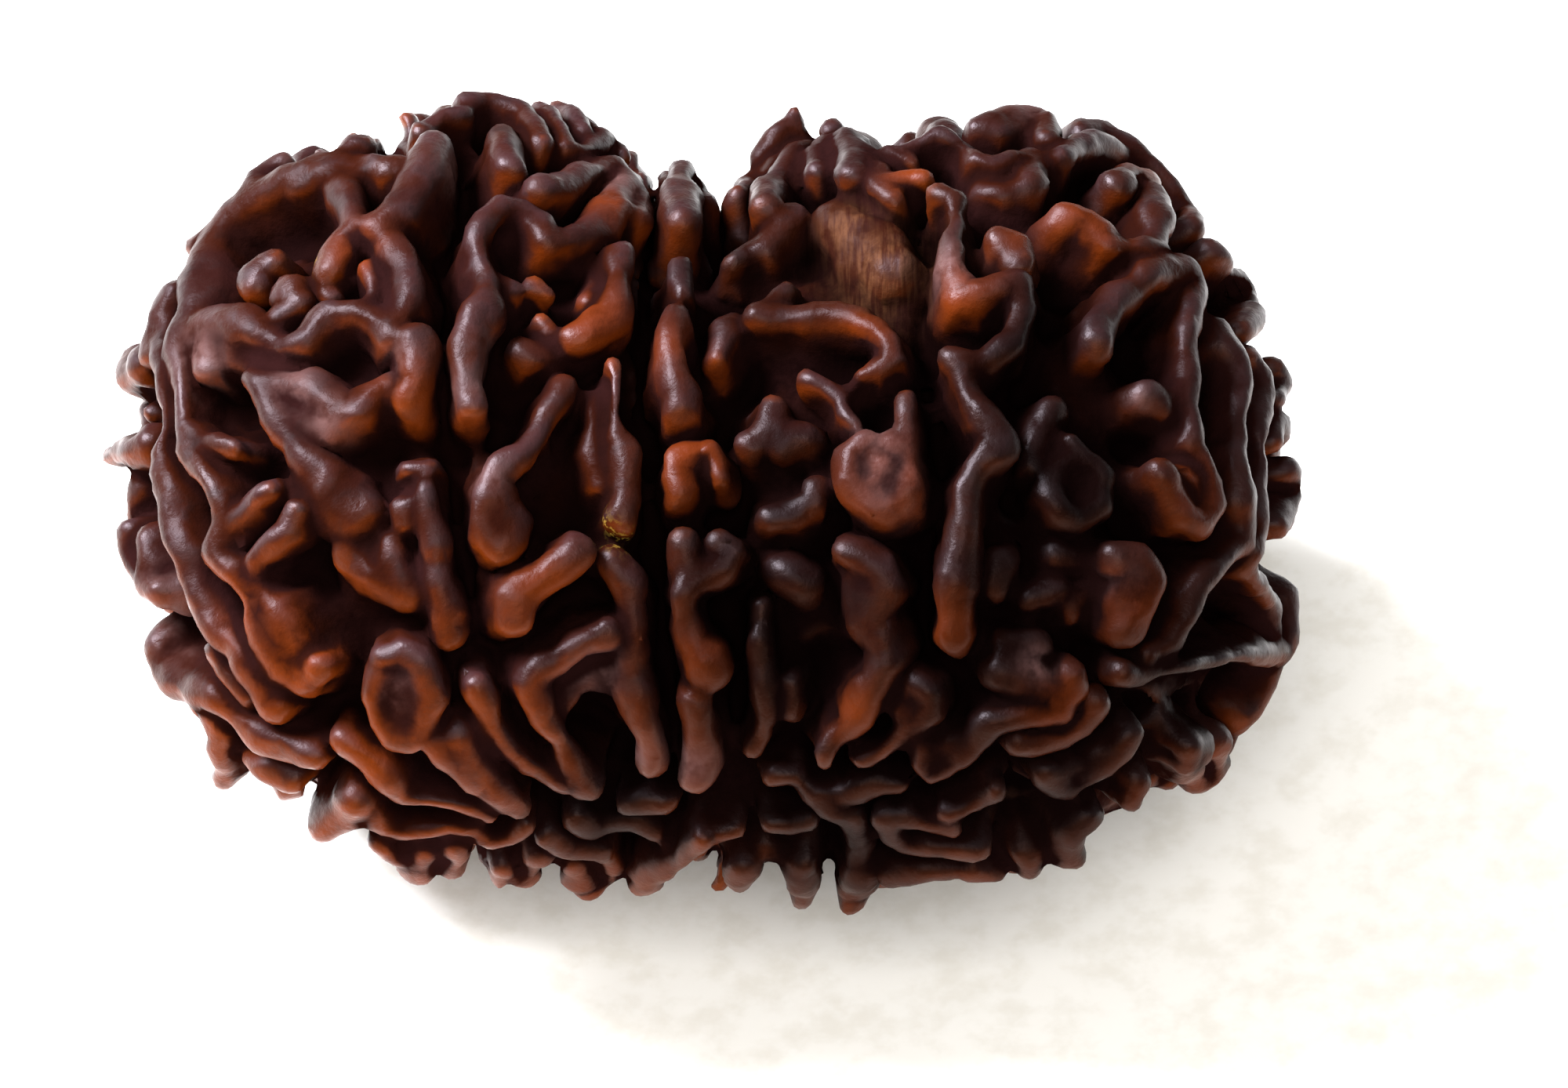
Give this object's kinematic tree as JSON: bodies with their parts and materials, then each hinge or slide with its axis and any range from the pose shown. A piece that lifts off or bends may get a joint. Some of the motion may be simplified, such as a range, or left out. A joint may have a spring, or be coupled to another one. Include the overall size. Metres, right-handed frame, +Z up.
{
  "type": "twin rudraksha bead",
  "caption": "Twin rudraksha bead: two rounded stones grown together side by side, with deep pole-to-pole grooves and a net of thick knobbly ridges.",
  "frame": {"origin": "middle of the bounding box's bottom, on the surface that the bead rests on", "axes": "+X across both stones, +Y along their pole axes from the shared pole to the two far poles, +Z up"},
  "size_m": [0.0361, 0.0269, 0.0216],
  "materials": {
    "endocarp": "satin"
  },
  "bodies": {
    "root": {"rudraksha_bead": "endocarp"}
  },
  "joints": []
}
